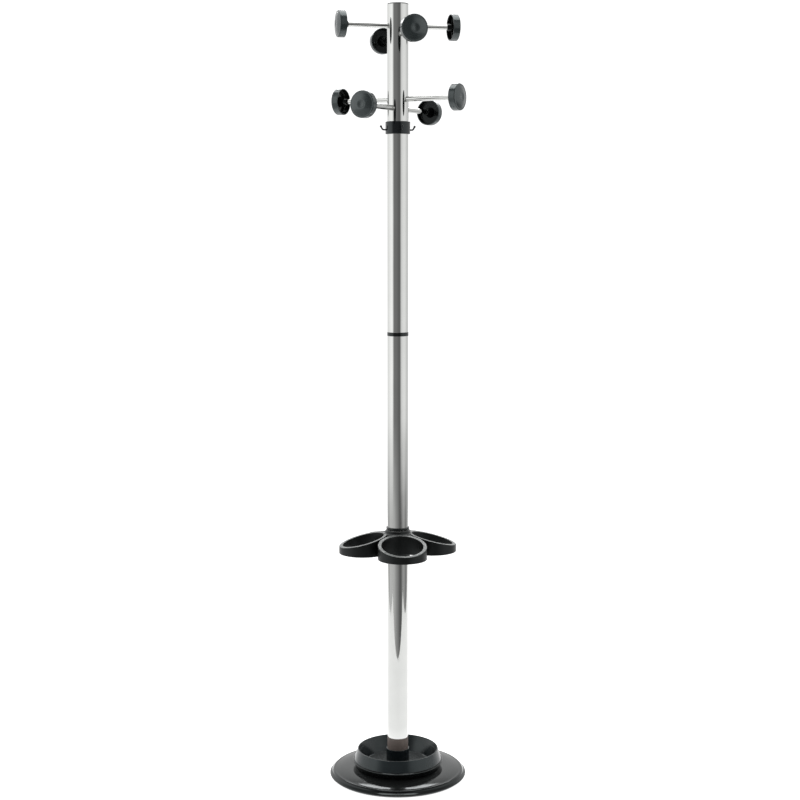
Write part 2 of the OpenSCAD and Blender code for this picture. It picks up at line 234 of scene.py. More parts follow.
# painted shade: a darker nylon for the knobs' hollows stands in for the shade inside them
HOLLOW_SHADE_NYLON = moulded(
    "nylon_painted_hollow_shade", "050606", "0A0B0B", 0.08, 0.16, 3.0, 0.008, dust_and_top_light=0.01, specular=0.28
)
GLASS_NYLON = moulded("glass_filled_nylon", "6A5F5A", "7E726C", 0.40, 0.55, 1.1, 0.02)
FOOT_RUBBER = moulded("foot_rubber", "151515", "222222", 0.65, 0.85, 0.7, 0.03)
PLASTICS = (
    GLOSS_ABS, COLLAR_ABS, SATIN_PP, TRAY_ABS, SLATE_NYLON, HOLLOW_SHADE_NYLON, GLASS_NYLON, FOOT_RUBBER,
)
print("plastics:", [m.name for m in PLASTICS])

# %% [markdown]
# ## Metals
#
# The tubes and rods are steel tube that is polished, nickel plated and then chromed. Chrome
# is almost a mirror. What tells it from a perfect mirror is the polishing: the belt runs
# round the tube, so the surface waves very slightly along it, and fingerprints dull it in
# patches. The waves are stretched along the pole by a Mapping node. Chrome's own colour is a
# neutral light grey, and a clear gap between it and white keeps the tubes from vanishing
# against a white room.
#
# The hidden metals get the same care at less length: a cast weight with a sandy skin, a black
# oxide plate, zinc plated screws, and brass inserts.


# %% The metal recipe
TONE_MM = 60


def metal(name, dark, light, gloss, dull, wave_mm, wave_depth_mm, stretch=1.0):
    material = bpy.data.materials.new(name)
    material.use_nodes = True
    tree = material.node_tree
    shader = tree.nodes["Principled BSDF"]
    shader.inputs["Metallic"].default_value = 1.0
    place = add(tree, "ShaderNodeTexCoord").outputs["Object"]
    tone = add(
        tree, "ShaderNodeTexNoise", {"Vector": place, "Scale": 1 / (TONE_MM * MM), "Detail": 3.0}
    )
    colour = add(
        tree,
        "ShaderNodeMix",
        {0: tone.outputs["Fac"], MIX_A: linear(dark), MIX_B: linear(light)},
        data_type="RGBA",
    )
    tree.links.new(colour.outputs[MIXED], shader.inputs["Base Color"])
    touched = add(
        tree,
        "ShaderNodeTexNoise",
        {"Vector": place, "Scale": 1 / (HANDLING_MM * MM), "Detail": 5.0, "Distortion": 0.4},
    )
    shine = add(
        tree,
        "ShaderNodeMapRange",
        {"Value": touched.outputs["Fac"], "From Min": 0.35, "From Max": 0.7, "To Min": gloss,
         "To Max": dull},
    )
    tree.links.new(shine.outputs[0], shader.inputs["Roughness"])
    along = add(tree, "ShaderNodeMapping", {"Vector": place, "Scale": (1.0, 1.0, 1 / stretch)})
    waves = add(
        tree,
        "ShaderNodeTexNoise",
        {"Vector": along.outputs[0], "Scale": 1 / (wave_mm * MM), "Detail": 1.0},
    )
    bump = add(
        tree,
        "ShaderNodeBump",
        {"Height": waves.outputs["Fac"], "Distance": wave_depth_mm * MM, "Strength": 1.0},
    )
    tree.links.new(bump.outputs["Normal"], shader.inputs["Normal"])
    return material


CHROME = metal("chrome_plate", "C9CAC8", "D4D5D3", 0.03, 0.08, 14.0, 0.10, stretch=5.0)
CAST_IRON = metal("cast_iron", "2A2A2B", "3A3938", 0.6, 0.8, 1.5, 0.2)
ZINC = metal("zinc_plate", "8E9296", "A6A9AB", 0.3, 0.45, 3.0, 0.03)
BLACK_STEEL = metal("black_oxide_steel", "1C1D1F", "2B2C2E", 0.35, 0.5, 2.0, 0.02)
BRASS = metal("turned_brass", "B08D45", "C7A35A", 0.25, 0.35, 1.0, 0.02)
print("metals:", [m.name for m in (CHROME, CAST_IRON, ZINC, BLACK_STEEL, BRASS)])

# %% [markdown]
# ## Node trees
#
# Geometry Nodes trees are built in the script, so three short helpers come first. `new_tree`
# gives a tree its named inputs, `math_of` adds one sum, and `close_tree` ends the tree in
# Realize Instances and Set Material.


# %% Helpers for trees
def new_tree(name, sizes):
    tree = bpy.data.node_groups.new(name, "GeometryNodeTree")
    tree.interface.new_socket("Start", in_out="INPUT", socket_type="NodeSocketGeometry")
    for socket, kind, value in sizes:
        made = tree.interface.new_socket(socket, in_out="INPUT", socket_type=kind)
        made.default_value = value
    tree.interface.new_socket("Finish", in_out="INPUT", socket_type="NodeSocketMaterial")
    tree.interface.new_socket("Made", in_out="OUTPUT", socket_type="NodeSocketGeometry")
    return tree, add(tree, "NodeGroupInput").outputs


def close_tree(tree, given, geometry):
    real = add(tree, "GeometryNodeRealizeInstances", {"Geometry": geometry})
    finished = add(
        tree, "GeometryNodeSetMaterial", {"Geometry": real.outputs[0], "Material": given["Finish"]}
    )
    add(tree, "NodeGroupOutput", {"Made": finished.outputs[0]})
    print(tree.name, "tree:", len(tree.nodes), "nodes")


def math_of(tree, operation, *values):
    return add(tree, "ShaderNodeMath", dict(enumerate(values)), operation=operation).outputs[0]


FLOAT, INTEGER = "NodeSocketFloat", "NodeSocketInt"
print("sizes in a tree are", FLOAT, "or", INTEGER)

# %% [markdown]
# ## One tree for every turned shape
#
# Nearly every piece here follows one rule: a section swept round an axis. Blender's Screw
# modifier can do that, but the umbrella rings need one thing more, because their top is cut
# by a slope. So a Geometry Nodes tree does both.
#
# The section comes in as a row of points. Each point's x is its distance from the axis, its z
# is its height, and its y says how far it follows the top: 0 for a point that stays put, and
# 1 for a point that rides on the sloping plane. The tree lays a grid, takes the section's
# point for each of its rows, and bends the grid into a ring. Merging by distance closes the
# seam and the poles.

# %% The turned tree
SAME_PLACE = 2e-6  # metres; points closer than this are one
turned_tree, given = new_tree(
    "turned",
    [("Steps", INTEGER, 96), ("Reach", FLOAT, 0.0), ("Bottom", FLOAT, 0.0),
     ("Plane", FLOAT, 0.0), ("Fall", FLOAT, 0.0)],
)
t = turned_tree
sizes = add(t, "GeometryNodeAttributeDomainSize", {"Geometry": given["Start"]})
count = sizes.outputs["Point Count"]
grid = add(
    t,
    "GeometryNodeMeshGrid",
    {"Size X": 1.0, "Size Y": 1.0, "Vertices X": count,
     "Vertices Y": math_of(t, "ADD", given["Steps"], 1.0)},
)
flat = add(t, "ShaderNodeSeparateXYZ", {0: add(t, "GeometryNodeInputPosition").outputs[0]})
row = math_of(
    t, "ROUND",
    math_of(t, "MULTIPLY", math_of(t, "ADD", flat.outputs["X"], 0.5),
            math_of(t, "SUBTRACT", count, 1.0)),
)
turn = math_of(t, "MULTIPLY", flat.outputs["Y"], math.tau)
picked = add(
    t,
    "GeometryNodeSampleIndex",
    {"Geometry": given["Start"], "Index": row},
    data_type="FLOAT_VECTOR",
    domain="POINT",
)
t.links.new(
    add(t, "GeometryNodeInputPosition").outputs[0],
    next(s for s in picked.inputs if s.name == "Value" and s.enabled),
)
point = add(t, "ShaderNodeSeparateXYZ", {0: picked.outputs[0]})
x = math_of(
    t, "ADD", given["Reach"], math_of(t, "MULTIPLY", point.outputs["X"], math_of(t, "COSINE", turn))
)
y = math_of(t, "MULTIPLY", point.outputs["X"], math_of(t, "SINE", turn))
top = math_of(t, "SUBTRACT", given["Plane"], math_of(t, "MULTIPLY", given["Fall"], x))
rise = math_of(t, "MULTIPLY", point.outputs["Y"], math_of(t, "SUBTRACT", top, given["Bottom"]))
z = math_of(t, "ADD", math_of(t, "ADD", point.outputs["Z"], given["Bottom"]), rise)
bent = add(
    t,
    "GeometryNodeSetPosition",
    {"Geometry": grid.outputs["Mesh"],
     "Position": add(t, "ShaderNodeCombineXYZ", {0: x, 1: y, 2: z}).outputs[0]},
)
closed = add(
    t, "GeometryNodeMergeByDistance", {"Geometry": bent.outputs[0], "Distance": SAME_PLACE}
)
close_tree(t, given, closed.outputs[0])

# %% [markdown]
# `grow` runs a tree on a start mesh and hands back a plain mesh. The modifier's inputs are
# set by identifier before the first evaluation. The start object is then thrown away, so no
# live modifier is left on any piece. The mesh is left with one material slot, its finish.
#
# `section` rounds the corners of a drawn section. Each corner is (distance from the axis,
# height, rounding), in millimetres, and the roundings are true arcs. A long straight run gets
# a support point close to each end, so that the shading of a rounding doesn't bleed into the
# flat wall beside it.


# %% Run a tree, and draw a section
LONG_RUN, SUPPORT = 3.0, 0.4
CORNER_SHARE = 0.48  # the most of a side that one rounding may use
SHARP = 33  # degrees


def grow(tree, start, **values):
    bench = bpy.data.objects.new("bench", start)
    bpy.context.scene.collection.objects.link(bench)
    step = bench.modifiers.new("tree", "NODES")
    step.node_group = tree
    for item in tree.interface.items_tree:
        if item.in_out == "INPUT" and item.name in values:
            step[item.identifier] = values[item.name]
    seen = bench.evaluated_get(bpy.context.evaluated_depsgraph_get())
    mesh = bpy.data.meshes.new_from_object(seen)
    bpy.data.objects.remove(bench)
    mesh.materials.clear()
    mesh.materials.append(values["Finish"])
    mesh.polygons.foreach_set("material_index", [0] * len(mesh.polygons))
    return mesh


def supported(points):
    made = []
    for here, after in zip(points, points[1:]):
        made.append(here)
        run = after - here
        if run.length > LONG_RUN:
            edge = run.normalized() * SUPPORT
            made += [here + edge, after - edge]
    return [*made, points[-1]]


def section(corners, closed=True, steps=5):
    points = []
    for i, corner in enumerate(corners):
        here = Vector(corner[:2])
        round_r = corner[2] if len(corner) > 2 else 0
        if round_r <= 0:
            points.append(here)
            continue
        to_last = Vector(corners[i - 1][:2]) - here
        to_next = Vector(corners[(i + 1) % len(corners)][:2]) - here
        half = to_last.angle(to_next) / 2
        setback = min(
            round_r / math.tan(half), CORNER_SHARE * to_last.length, CORNER_SHARE * to_next.length
        )
        a, b = to_last.normalized(), to_next.normalized()
        middle = (a + b).normalized() * (setback / math.cos(half))
        spoke_a, spoke_b = a * setback - middle, b * setback - middle
        sweep = spoke_a.angle(spoke_b)
        for k in range(steps + 1):
            share = k / steps
            spoke = (
                spoke_a * math.sin((1 - share) * sweep) + spoke_b * math.sin(share * sweep)
            ) / math.sin(sweep)
            points.append(here + middle + spoke)
    if closed:
        points.append(points[0])
    return [(p.x, 0.0, p.y) for p in supported(points)]


def arc(centre, arc_r, start, end, steps=8):
    angles = [math.radians(start + (end - start) * k / steps) for k in range(steps + 1)]
    return [(centre[0] + arc_r * math.cos(a), centre[1] + arc_r * math.sin(a)) for a in angles]


def smooth(mesh, angle=SHARP):
    mesh.polygons.foreach_set("use_smooth", [True] * len(mesh.polygons))
    mesh.set_sharp_from_angle(angle=math.radians(angle))
    return mesh


def volume(mesh):
    mesh.calc_loop_triangles()
    v = mesh.vertices
    return sum(
        v[t.vertices[0]].co.dot(v[t.vertices[1]].co.cross(v[t.vertices[2]].co))
        for t in mesh.loop_triangles
    ) / 6


def turned(points, finish, steps=96, **sizes):
    start = bpy.data.meshes.new("section")
    start.from_pydata([(p[0] * MM, p[1], p[2] * MM) for p in points], [], [])
    mesh = grow(turned_tree, start, Steps=steps, Finish=finish, **sizes)
    if volume(mesh) < 0:
        mesh.flip_normals()
    return smooth(mesh)


trial = turned(section([(10, 0, 1), (12, 0, 1), (12, 5, 1), (10, 5, 1)]), CHROME)
square_cut = math.pi * (12**2 - 10**2) * 5
print("a trial ring:", round(volume(trial) / MM**3), "cubic mm; not rounded", round(square_cut))

# %% [markdown]
# `piece` puts a finished mesh in the scene. It names the piece after the part that it stands
# for, hangs it on the body that it rides on, and hides that part. `cut` joins or carves
# meshes with a Boolean modifier, whose result is taken as a plain mesh too.


# %% Put a piece in the scene
BODY_OF = {
    node: body for body, nodes in frame["record"]["behaviour"]["bodies"].items() for node in nodes
}


def piece(node, mesh):
    made = bpy.data.objects.new(node + "_finished", mesh)
    mesh.name = made.name
    bpy.context.scene.collection.objects.link(made)
    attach(made, BODY_OF[node])
    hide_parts(node)
    return made


def cut(mesh, tools, operation="DIFFERENCE"):
    work = bpy.data.objects.new("work", mesh)
    bpy.context.scene.collection.objects.link(work)
    helpers = []
    for tool in tools:
        helper = bpy.data.objects.new("tool", tool)
        bpy.context.scene.collection.objects.link(helper)
        step = work.modifiers.new("cut", "BOOLEAN")
        step.operation, step.solver, step.object = operation, "EXACT", helper
        helpers.append(helper)
    seen = work.evaluated_get(bpy.context.evaluated_depsgraph_get())
    made = bpy.data.meshes.new_from_object(seen)
    for old in [work, *helpers]:
        bpy.data.objects.remove(old)
    return made


def moved(mesh, place):
    copy = mesh.copy()
    copy.transform(place)
    return copy


def turn_z(degrees):
    return Matrix.Rotation(math.radians(degrees), 4, "Z")


def out_by(reach_mm):
    return Matrix.Translation((reach_mm * MM, 0, 0))


# %% [markdown]
# ## The tubes
#
# A sawn tube end is deburred before plating, so it has a small rounding outside and inside.
# That rounding is what catches the light at a joint.

# %% Turn the straight tubes
for node in ("lower_tube", "middle_tube", "upper_tube"):
    z0, z1 = levels(node)
    tube = turned(
        section([(BORE_R, z0, 0.2), (TUBE_R, z0, 0.45), (TUBE_R, z1, 0.45), (BORE_R, z1, 0.2)]),
        CHROME,
        steps=128,
    )
    piece(node, tube)
    print(node, "from", round(z0, 1), "to", round(z1, 1), "mm")

# %% [markdown]
# The head tube has eight cross holes for the pegs. They are cut with a Boolean. A cut leaves
# long thin triangles, which spoil the shading of a mirror finish, so the normals of the
# round walls are then set to point straight out from the axis, as they do on the real tube.

# %% Turn and drill the head tube
PEGS = {  # rod: its direction about the pole
    "upper_rod_x": 0,
    "upper_rod_y": 90,
    "lower_rod_a": 135,
    "lower_rod_b": 45,
}


def rod_level(node):
    return sum(levels(node)) / 2


def along_peg(direction, height_mm, reach_mm=0.0):
    return (
        Matrix.Translation((0, 0, height_mm * MM))
        @ turn_z(direction)
        @ out_by(reach_mm)
        @ Matrix.Rotation(math.pi / 2, 4, "Y")
    )


ROD_R = 6.0
HOLE_R = ROD_R + 0.05
DRILL_L = 80
ON_WALL, LEVEL_FACE, OUTWARD = 0.02, 0.05, 0.97
z0, z1 = levels("head_tube")
blank = turned(
    section([(BORE_R, z0, 0.2), (TUBE_R, z0, 0.45), (TUBE_R, z1, 0.2), (BORE_R, z1, 0.2)]),
    CHROME,
    steps=128,
)
drill_line = [(0, -DRILL_L / 2), (HOLE_R, -DRILL_L / 2), (HOLE_R, DRILL_L / 2), (0, DRILL_L / 2)]
drill = turned(section(drill_line, closed=False), CHROME, 64)
head = cut(blank, [moved(drill, along_peg(PEGS[rod], rod_level(rod))) for rod in PEGS])
smooth(head)
normals = []
for face in head.polygons:
    for loop in face.loop_indices:
        at = head.vertices[head.loops[loop].vertex_index].co
        out = Vector((at.x, at.y, 0))
        wall = min(abs(out.length / MM - TUBE_R), abs(out.length / MM - BORE_R)) < ON_WALL
        across = face.normal.dot(out.normalized())
        straight = abs(face.normal.z) < LEVEL_FACE and abs(across) > OUTWARD
        side = 1 if across > 0 else -1
        normals.append(out.normalized() * side if wall and straight else face.normal.copy())
head.normals_split_custom_set(normals)
piece("head_tube", head)
print("head tube:", len(head.polygons), "faces,", round(z1 - z0, 1), "mm long")

# %% [markdown]
# ## The joiners and the cap
#
# Moulded plugs join the tubes. Only their collars show, and each is a little wider than the
# tube, with a rounded edge. The lower one also locks the umbrella holder: it has a narrow
# neck, and a lip above it that throws a dark line.


# %% Turn the joiners and the cap
PLUG_L, PLUG_IN = 38, BORE_R - 4


def joiner(node, collar, up=PLUG_L):
    bottom, top = collar[0][1], collar[-1][1]
    print(node, "collar from", round(bottom, 1), "to", round(top, 1), "mm")
    outline = [
        (PLUG_IN, bottom - PLUG_L, 0.4), (PLUG_R, bottom - PLUG_L, 0.8), (PLUG_R, bottom), *collar,
        (PLUG_R, top), (PLUG_R, top + up, 0.8), (PLUG_IN, top + up, 0.4),
    ]
    piece(node, turned(section(outline), GLOSS_ABS, 128))


NECK_R, LIP_R = 25.4, 26.8
LOCK_Z = levels("lower_tube")[1]
joiner(
    "lower_joiner",
    [(NECK_R, LOCK_Z, 0.2), (NECK_R, LOCK_Z + 2.1, 0.2), (LIP_R, LOCK_Z + 2.3, 0.6),
     (LIP_R, LOCK_Z + 6, 0.6)],
)
BAND_Z = levels("middle_tube")[1]
joiner("middle_joiner", [(TUBE_R + 0.5, BAND_Z, 0.4), (TUBE_R + 0.5, BAND_Z + 8, 0.4)])
HEAD_Z = levels("upper_tube")[1]
FLANGE_R = 25.3
joiner("upper_joiner", [(FLANGE_R, HEAD_Z, 0.3), (FLANGE_R, HEAD_Z + 2, 0.3)], up=20)

RACK_H = levels("head_cap")[1]
cap = [
    (0, RACK_H), (TUBE_R, RACK_H, 0.9), (TUBE_R, RACK_H - 2, 0.1), (PLUG_R, RACK_H - 2, 0.1),
    (PLUG_R, RACK_H - 17, 0.5), (BORE_R - 3, RACK_H - 17, 0.3), (BORE_R - 3, RACK_H - 4, 0.5),
    (0, RACK_H - 4),
]
piece("head_cap", turned(section(cap, closed=False), GLOSS_ABS, 128))

# %% [markdown]
# ## The pegs
#
# A peg is one steel rod right through the pole, thinner at both ends, where a brass insert in
# each knob holds it. So two pegs share one rod, and each rod has its own height.

# %% Turn the rods
STUD_R = 4.0
STUD_L = 10.0
for node, direction in PEGS.items():
    low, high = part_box(node)
    half = max(high.x, high.y) / MM
    if direction % 90:  # a rod on a diagonal: its box is its length and width at 45 degrees
        half = half * math.sqrt(2) - STUD_R
    body = half - STUD_L
    outline = [
        (0, -half), (STUD_R, -half, 0.5), (STUD_R, -body), (ROD_R, -body, 0.5),
        (ROD_R, body, 0.5), (STUD_R, body), (STUD_R, half, 0.5), (0, half),
    ]
    rod = moved(turned(section(outline, closed=False), CHROME, 64),
                along_peg(direction, rod_level(node)))
    piece(node, rod)
    print(node, "is", round(2 * half, 1), "mm long")

# %% [markdown]
# A knob is a shell: a gently domed face, a deep rim, and a hub at the back that takes the rod.
# The face has a shallow dish with a fine ring in it. The outside is slate. The hollow's faces
# get a darker, glossier nylon, which is painted shade: it paints the hollow black, as the shade
# inside it would. All eight come from one mould, so one mesh is turned and then copied to each
# peg, as eight separate pieces.

# %% Turn the knobs
KNOB_R = 29.5
KNOB_RIM = 15.4
FACE_R = KNOB_R - 1.8
DOME, DISH, DISH_R = 5.0, 1.62, 12.0
FACE_STEP = 0.5
HOLLOW_R, HOLLOW_TOP = 27.4, 12.5
RING = [(8.25, 0.0), (8.1, 0.34), (7.9, 0.4), (7.6, 0.4), (7.4, 0.3), (7.3, 0.0)]


def face_height(q):
    dish = DISH * (0.5 + 0.5 * math.cos(math.pi * q / DISH_R)) if q < DISH_R else 0
    return KNOB_RIM + DOME - (DOME + 0.4) * (q / FACE_R) ** 2.2 - dish


radii = [FACE_STEP * k for k in range(1, 52)]
face_points = [(q, face_height(q)) for q in radii if not 7.2 < q < 8.3]
face_points += [(q, face_height(q) - depth) for q, depth in RING]
face_points.sort(key=lambda p: -p[0])
knob_outline = [
    (0, 12.3), (6.55, 12.3), (6.55, 2), (6.05, 2), (6.05, -8, 0.2), (7.0, -8, 0.6),
    (11.5, 11.4, 1.2), (26.5, 11.4, 2.0), (27.3, 0, 0.7), (KNOB_R, 0, 0.7),
    (KNOB_R, KNOB_RIM + 0.9, 3.2), *face_points, (0, face_height(0)),
]
knob = turned(section(knob_outline, closed=False), SLATE_NYLON, 96)
knob.materials.append(HOLLOW_SHADE_NYLON)
# painted shade: the faces inside the hollow get the darker nylon
for face in knob.polygons:
    if Vector(face.center.xy).length < HOLLOW_R * MM and face.center.z < HOLLOW_TOP * MM:
        face.material_index = 1
print("knob finishes:", [m.name for m in knob.materials])
KNOBS = {
    "upper_right": 0, "upper_rear": 90, "upper_left": 180, "upper_front": 270,
    "lower_right_rear": 45, "lower_left_rear": 135, "lower_left_front": 225,
    "lower_right_front": 315,
}
UPPER_REACH, LOWER_REACH = 122.3, 142.0
for name, direction in KNOBS.items():
    node = "knob_" + name
    reach = UPPER_REACH if name.startswith("upper") else LOWER_REACH
    height = sum(levels(node)) / 2
    piece(node, moved(knob, along_peg(direction, height, reach)))
print("a knob:", len(knob.polygons), "faces; eight of them")

# %% [markdown]
# ## A tree that repeats a part round the pole
#
# Feet, screws, umbrella rings and small hooks all repeat round the pole. This tree puts an
# instance of the start mesh at each step of a full turn, and makes them real at the end.

# %% The ring of parts
around_tree, given = new_tree(
    "around", [("Count", INTEGER, 4), ("First angle", FLOAT, 0.0)]
)
t = around_tree
points = add(t, "GeometryNodePoints", {"Count": given["Count"]})
step_angle = math_of(t, "DIVIDE", math.tau, given["Count"])
angle = math_of(
    t, "ADD",
    math_of(t, "MULTIPLY", add(t, "GeometryNodeInputIndex").outputs[0], step_angle),
    given["First angle"],
)
spin = add(
    t, "FunctionNodeEulerToRotation", {0: add(t, "ShaderNodeCombineXYZ", {2: angle}).outputs[0]}
)
copies = add(
    t,
    "GeometryNodeInstanceOnPoints",
    {"Points": points.outputs[0], "Instance": given["Start"], "Rotation": spin.outputs[0]},
)
close_tree(t, given, copies.outputs[0])


def around(mesh, count, finish, first=0.0):
    values = {"Count": count, "First angle": math.radians(first), "Finish": finish}
    return smooth(grow(around_tree, mesh, **values))


print("three trial rings have", len(around(trial, 3, CHROME).polygons) // len(trial.polygons),
      "times the faces of one")

# %% [markdown]
# ## The umbrella holder
#
# Four rings stand on one hub. Each ring is a wall with a flat rim, hollow from below like a
# channel, and its top falls outwards. That is the rule that the turned tree was made for: the
# rim's points carry a 1 in y, so they ride on the sloping plane, and the bottom's points
# carry a 0. The hub is an ordinary turned piece, and a Boolean joins them.

# %% Turn the rings and join them to the hub
HOLDER_Z, HOLDER_TOP = levels("umbrella_holder")
RING_REACH, RING_OUT, RING_IN = 80.7, 56.0, 47.3
RIM_PLANE, SLOPE, SKIN, EDGE = 587.2, 14.6, 2.6, 1.5
HOLDER_TURN = -8.0


def at_bottom(points):
    return [(r, 0.0, z) for r, z in points]


def at_top(points):
    return [(r, 1.0, z) for r, z in points]


ring_section = [
    *at_bottom([(RING_OUT - 0.5, 0), (RING_OUT, 0.5), (RING_OUT, 1)]),
    *at_top([(RING_OUT, -EDGE - 0.5), *arc((RING_OUT - EDGE, -EDGE), EDGE, 0, 90, 6)]),
    *at_top([(RING_OUT - EDGE - 0.5, 0), (RING_IN + EDGE + 0.5, 0)]),
    *at_top([*arc((RING_IN + EDGE, -EDGE), EDGE, 90, 180, 6), (RING_IN, -EDGE - 0.5)]),
    *at_bottom([(RING_IN, 1), (RING_IN, 0.5), (RING_IN + 0.5, 0), (RING_IN + SKIN, 0)]),
    *at_top([(RING_IN + SKIN, -SKIN - 0.8), (RING_IN + SKIN + 0.8, -SKIN),
             (RING_OUT - SKIN - 0.8, -SKIN), (RING_OUT - SKIN, -SKIN - 0.8)]),
    *at_bottom([(RING_OUT - SKIN, 0), (RING_OUT - 0.5, 0)]),
]
umbrella_ring = turned(
    ring_section, SATIN_PP, steps=144, Reach=RING_REACH * MM, Bottom=HOLDER_Z * MM,
    Plane=RIM_PLANE * MM, Fall=math.tan(math.radians(SLOPE)),
)
rings = around(umbrella_ring, 4, SATIN_PP)
HUB_R = 29.6
HUB_WALL = RING_REACH - RING_IN
HUB_BORE = TUBE_R + 0.06
SHOULDER_LOW, SHOULDER_HIGH = 578.3, 582
hub = turned(
    section([
        (HUB_BORE, HOLDER_Z, 0.4), (HUB_WALL, HOLDER_Z, 0.8), (HUB_WALL, SHOULDER_LOW, 1.5),
        (HUB_R, SHOULDER_HIGH, 3), (HUB_R - 0.6, HOLDER_TOP - 2.5, 2),
        (HUB_R - 2.6, HOLDER_TOP, 1), (HUB_BORE, HOLDER_TOP, 0.3),
    ]),
    SATIN_PP,
    128,
)
holder = smooth(cut(hub, [rings], "UNION"))
holder.transform(turn_z(HOLDER_TURN))
piece("umbrella_holder", holder)
print("umbrella holder:", len(holder.polygons), "faces")

# %% [markdown]
# ## The ring of small hooks
#
# A small hook is a round bar that leaves the collar level and turns up and out, with a ball
# on its tip so that it can't scratch. It follows a path, so a tree makes it: the path is
# filleted at its bend, a circle that grows towards the tip is swept along it, and a ball is
# joined to its end.

# %% The bent bar tree
bar_tree, given = new_tree(
    "bent_bar",
    [("Bar radius", FLOAT, 0.0019), ("Root share", FLOAT, 0.9), ("Tip share", FLOAT, 1.3),
     ("Bend radius", FLOAT, 0.0045), ("Ball radius", FLOAT, 0.0026)],
)
t = bar_tree
path = add(t, "GeometryNodeMeshToCurve", {"Mesh": given["Start"]})
bend = add(
    t,
    "GeometryNodeFilletCurve",
    {"Curve": path.outputs[0], "Radius": given["Bend radius"], "Count": 10, "Limit Radius": True},
    mode="POLY",
)
swell = add(
    t,
    "ShaderNodeMapRange",
    {"Value": add(t, "GeometryNodeSplineParameter").outputs["Factor"],
     "To Min": given["Root share"], "To Max": given["Tip share"]},
)
thick = add(
    t, "GeometryNodeSetCurveRadius", {"Curve": bend.outputs[0], "Radius": swell.outputs[0]}
)
round_bar = add(
    t, "GeometryNodeCurvePrimitiveCircle", {"Resolution": 24, "Radius": given["Bar radius"]}
)
bar = add(
    t,
    "GeometryNodeCurveToMesh",
    {"Curve": thick.outputs[0], "Profile Curve": round_bar.outputs[0], "Fill Caps": True},
)
tip = add(
    t,
    "GeometryNodeInstanceOnPoints",
    {"Points": bend.outputs[0],
     "Selection": add(t, "GeometryNodeCurveEndpointSelection",
                      {"Start Size": 0, "End Size": 1}).outputs[0],
     "Instance": add(t, "GeometryNodeMeshUVSphere",
                     {"Segments": 24, "Rings": 16, "Radius": given["Ball radius"]}).outputs[0]},
)
ball = add(t, "GeometryNodeRealizeInstances", {"Geometry": tip.outputs[0]})
joined = add(
    t, "GeometryNodeMeshBoolean", {"Mesh 2": bar.outputs[0]}, operation="UNION", solver="EXACT"
)
t.links.new(ball.outputs[0], joined.inputs["Mesh 2"])
close_tree(t, given, joined.outputs[0])

# %% [markdown]
# The collar is captured between the upper tube and the head tube. It has a groove inside that
# runs on the flange of the upper joiner.

# %% Turn the collar and join its hooks
COLLAR_Z, COLLAR_TOP = levels("hook_ring")
COLLAR_R = 28.0
BAR_Z = COLLAR_Z + 9.8
RISE = math.radians(62)
CORNER_X, TIP_L = 35.4, 8.2
start = bpy.data.meshes.new("hook_path")
start.from_pydata(
    [(26 * MM, 0, BAR_Z * MM), (CORNER_X * MM, 0, BAR_Z * MM),
     ((CORNER_X + TIP_L * math.cos(RISE)) * MM, 0, (BAR_Z + TIP_L * math.sin(RISE)) * MM)],
    [(0, 1), (1, 2)], [],
)
hook = grow(bar_tree, start, Finish=COLLAR_ABS)
if volume(hook) < 0:
    hook.flip_normals()
hooks = around(hook, 4, COLLAR_ABS)
collar = turned(
    section([
        (HUB_BORE, COLLAR_Z, 0.3), (COLLAR_R, COLLAR_Z, 2.2), (COLLAR_R, COLLAR_TOP, 1.2),
        (HUB_BORE, COLLAR_TOP, 0.3), (HUB_BORE, HEAD_Z + 2.3), (FLANGE_R + 0.3, HEAD_Z + 2.3, 0.1),
        (FLANGE_R + 0.3, HEAD_Z - 0.3, 0.1), (HUB_BORE, HEAD_Z - 0.3),
    ]),
    COLLAR_ABS,
    128,
)
piece("hook_ring", smooth(cut(collar, [hooks], "UNION")))
print("one hook:", len(hook.polygons), "faces; collar", COLLAR_Z, "to", COLLAR_TOP, "mm")

# %% [markdown]
# ## The base
#
# The cover is a deep moulding, level in the middle, that falls gently and then rolls over at
# the edge. Below the roll it flares out again, so its outline is a long S. A gloss surface
# shows every change of slope in its reflections, so the section has many points there. The
# waist between the roll and the flare is a Bezier curve that leaves both of them smoothly.
# Four bosses under it take the screws of the bottom plate, and the ring tree makes them.

# %% Turn the cover
TOP_Z = levels("base_cover")[1]
FOOT_H = levels("base_cover")[0]
LEVEL_R, TOP_EDGE_R, DOME_FALL = 100.0, 146.0, 5.6
ROLL_R, FLARE_R, WAIST_PULL = 7, 2.6, 2.4
SCREW_REACH = 70
BOLT_HOLE_R = 5.5


def cover_top(r):
    return TOP_Z - DOME_FALL * (max(r - LEVEL_R, 0) / (TOP_EDGE_R - LEVEL_R)) ** 2


dome_radii = [LEVEL_R + (TOP_EDGE_R - LEVEL_R) * k / 18 for k in range(19)]
dome = [(r, cover_top(r)) for r in dome_radii]
roll = arc((147.4, cover_top(TOP_EDGE_R) - ROLL_R), ROLL_R, 74, 26, 12)
flare = arc((157.4, 6), FLARE_R, 50, -20, 8)
a, d = Vector(roll[-1]), Vector(flare[0])
b = a + Vector(arc((0, 0), WAIST_PULL, -64, -64, 1)[0])
c = d - Vector(arc((0, 0), WAIST_PULL, -40, -40, 1)[0])
waist = [
    a * (1 - s) ** 3 + b * 3 * s * (1 - s) ** 2 + c * 3 * s * s * (1 - s) + d * s**3
    for s in [k / 8 for k in range(1, 8)]
]
cover_outline = [
    (BOLT_HOLE_R, TOP_Z), *dome, *roll, *[tuple(p) for p in waist], *flare, (156.6, FOOT_H, 0.3),
    (153, FOOT_H, 0.2), (153, 7, 1), (150.5, 10.2), (146, 12.8), (138, 14.9), (120, 17.6),
    (LEVEL_R, 19), (BOLT_HOLE_R, 19),
]
shell = turned(section(cover_outline), GLOSS_ABS, 192)
